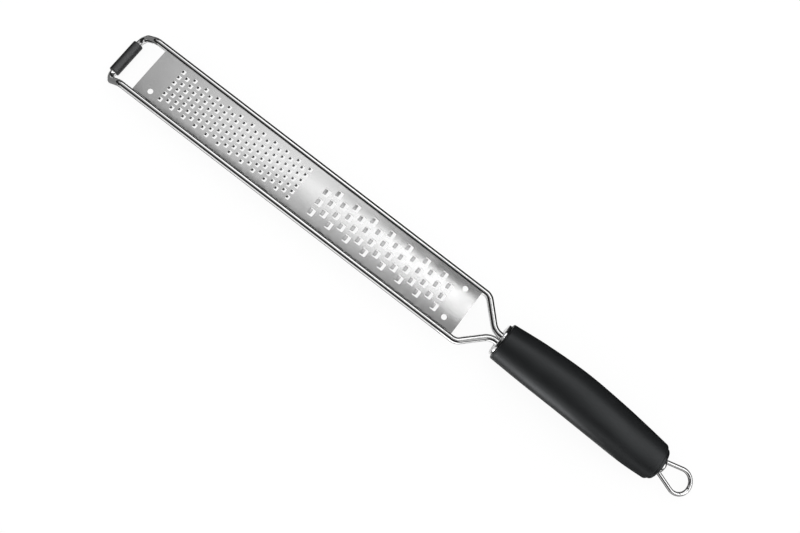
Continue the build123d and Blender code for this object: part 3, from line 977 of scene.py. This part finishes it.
def makeWorld(settings):
    # polished steel sees soft panels in the dark, and matt surfaces get even light
    world = bpy.data.worlds.new("studioWalls")
    bpy.context.scene.world = world
    tree = useNodes(world)
    place = addNode(tree, "ShaderNodeTexCoord")
    parts = addNode(tree, "ShaderNodeSeparateXYZ", {"Vector": place.outputs["Generated"]})
    along = parts.outputs["X"]
    angle = mathNode(tree, "DEGREES", mathNode(tree, "ARCTAN2", parts.outputs["Y"], parts.outputs["Z"]), 0)
    grey, box, front, glow, strip, haze, flag, wall, rear = (
        settings[name] for name in ("grey", "box", "front", "glow", "strip", "haze", "flag", "wall", "rear"))

    def rising(value, panel, edge):
        return risingEdge(tree, value, panel[edge], panel[edge + "Soft"])

    def falling(value, panel, edge):
        return mathNode(tree, "SUBTRACT", 1, rising(value, panel, edge))

    def slanted(panel):
        low = mathNode(tree, "ADD", panel["low"], mathNode(tree, "MULTIPLY", along, panel["slant"]))
        return risingEdge(tree, angle, low, panel["lowSoft"])

    reached = rising(along, grey, "end")
    upper = falling(angle, box, "high")
    under = falling(angle, box, "low")
    boxMask = product(tree, rising(angle, box, "low"), upper, rising(along, box, "end"))
    glowMask = product(tree, slanted(glow), under, rising(along, glow, "end"))
    flagMask = product(tree, rising(angle, flag, "low"), under, rising(along, flag, "end"))
    rest = mathNode(tree, "SUBTRACT", 1, mathNode(tree, "ADD", boxMask, glowMask))
    greyMask = product(tree, rest, rising(angle, grey, "low"), upper, reached)
    frontMask = product(tree, rising(angle, front, "low"), falling(angle, front, "high"), reached,
                        falling(along, front, "end"))
    stripMask = product(tree, rising(angle, strip, "low"), falling(angle, strip, "high"),
                        rising(along, strip, "end"))
    hazeMask = product(tree, slanted(haze), falling(angle, haze, "high"), rising(along, haze, "start"),
                       falling(along, haze, "end"))
    wallMask = product(tree, falling(angle, wall, "high"), rising(along, wall, "end"))
    rearMask = product(tree, rising(angle, rear, "low"), under, rising(along, rear, "end"))
    total = settings["dark"]
    for mask, panel in ((greyMask, grey), (boxMask, box), (glowMask, glow), (stripMask, strip),
                        (hazeMask, haze), (frontMask, front), (flagMask, flag), (wallMask, wall),
                        (rearMask, rear)):
        total = mathNode(tree, "ADD", total, product(tree, panel["level"], mask))
    ray = addNode(tree, "ShaderNodeLightPath")
    upward = mathNode(tree, "MAXIMUM", parts.outputs["Z"], 0)
    overhead = mathNode(tree, "MULTIPLY", upward, settings["overhead"])
    walls = addNode(tree, "ShaderNodeBackground", {"Color": (1, 1, 1, 1), "Strength": total})
    even = addNode(tree, "ShaderNodeBackground", {"Color": (1, 1, 1, 1), "Strength": overhead})
    white = addNode(tree, "ShaderNodeBackground", {"Color": (1, 1, 1, 1), "Strength": 1.0})
    lit = addNode(tree, "ShaderNodeMixShader", {
        0: ray.outputs["Is Diffuse Ray"], 1: walls.outputs[0], 2: even.outputs[0]})
    mix = addNode(tree, "ShaderNodeMixShader", {
        0: ray.outputs["Is Camera Ray"], 1: lit.outputs[0], 2: white.outputs[0]})
    end = addNode(tree, "ShaderNodeOutputWorld")
    tree.links.new(mix.outputs[0], end.inputs["Surface"])


cards = {
    # flat cards just over the floor, seen only in glossy faces: low and high corner, display shade, own light
    "height": 1.0 * mm,
    "sideCard": ((-203 * mm, 20 * mm), (1.5, 1.5), 0.12, 0.0),
    "tipCard": ((-1.5, -1.5), (-203 * mm, 1.5), 0.46, 0.0),
    "rearCard": ((155 * mm, -1.5), (1.5, 20 * mm), 0.45, 0.0),
    "nearCard": ((-203 * mm, -40 * mm), (155 * mm, -19 * mm), 0.50, 0.0),
    "brightCard": ((40 * mm, -260 * mm), (140 * mm, -46 * mm), 0.90, 2.3),
}


def makeCard(name, low, high, shade, light):
    mesh = bpy.data.meshes.new(name)
    height = cards["height"]
    mesh.from_pydata([(low[0], low[1], height), (high[0], low[1], height), (high[0], high[1], height),
                      (low[0], high[1], height)], [], [(0, 1, 2, 3)])
    card = bpy.data.objects.new(name, mesh)
    bpy.context.collection.objects.link(card)
    material = bpy.data.materials.new(name)
    tree = useNodes(material)
    matt = addNode(tree, "ShaderNodeBsdfPrincipled", {
        "Base Color": linearColour(shade), "Roughness": mattRoughness, "Specular IOR Level": 0.0,
        "Emission Color": (1, 1, 1, 1), "Emission Strength": light})
    end = addNode(tree, "ShaderNodeOutputMaterial")
    tree.links.new(matt.outputs[0], end.inputs["Surface"])
    mesh.materials.append(material)
    card.visible_camera = False
    card.visible_diffuse = False
    card.visible_shadow = False


def makeCards():
    for name, card in cards.items():
        if name != "height":
            makeCard(name, *card)


cameraSettings = {
    # metres from the blade's tip end, at the height of the wires' tops
    "place": (0.1963, -0.1519, 0.6106),
    "aim": (0.17465, -0.002175, 0.0),
    "turn": 38.01,                 # degrees, clockwise about the line of sight
    "lens": 52.28,                 # millimetres
    "sensor": 36.0,
    "clipStart": 0.01,
}


def makeCamera(settings):
    data = bpy.data.cameras.new("photoCamera")
    data.sensor_width = settings["sensor"]
    data.lens = settings["lens"]
    data.clip_start = settings["clipStart"]
    camera = bpy.data.objects.new("photoCamera", data)
    start = Vector((tipX, 0, wireHigh.z))
    place = start + Vector(settings["place"])
    sight = (start + Vector(settings["aim"]) - place).normalized()
    right = sight.cross(Vector((0, 1, 0))).normalized()
    up = right.cross(sight)
    turn = Matrix.Rotation(math.radians(-settings["turn"]), 3, sight)
    right = turn @ right
    up = turn @ up
    camera.matrix_world = Matrix((
        (right.x, up.x, -sight.x, place.x),
        (right.y, up.y, -sight.y, place.y),
        (right.z, up.z, -sight.z, place.z),
        (0, 0, 0, 1)))
    bpy.context.collection.objects.link(camera)
    bpy.context.scene.camera = camera


makeFloor(floorSettings)
makeWorld(worldSettings)
makeCards()
makeCamera(cameraSettings)
bpy.context.scene.view_settings.view_transform = "Standard"
print("studio made")
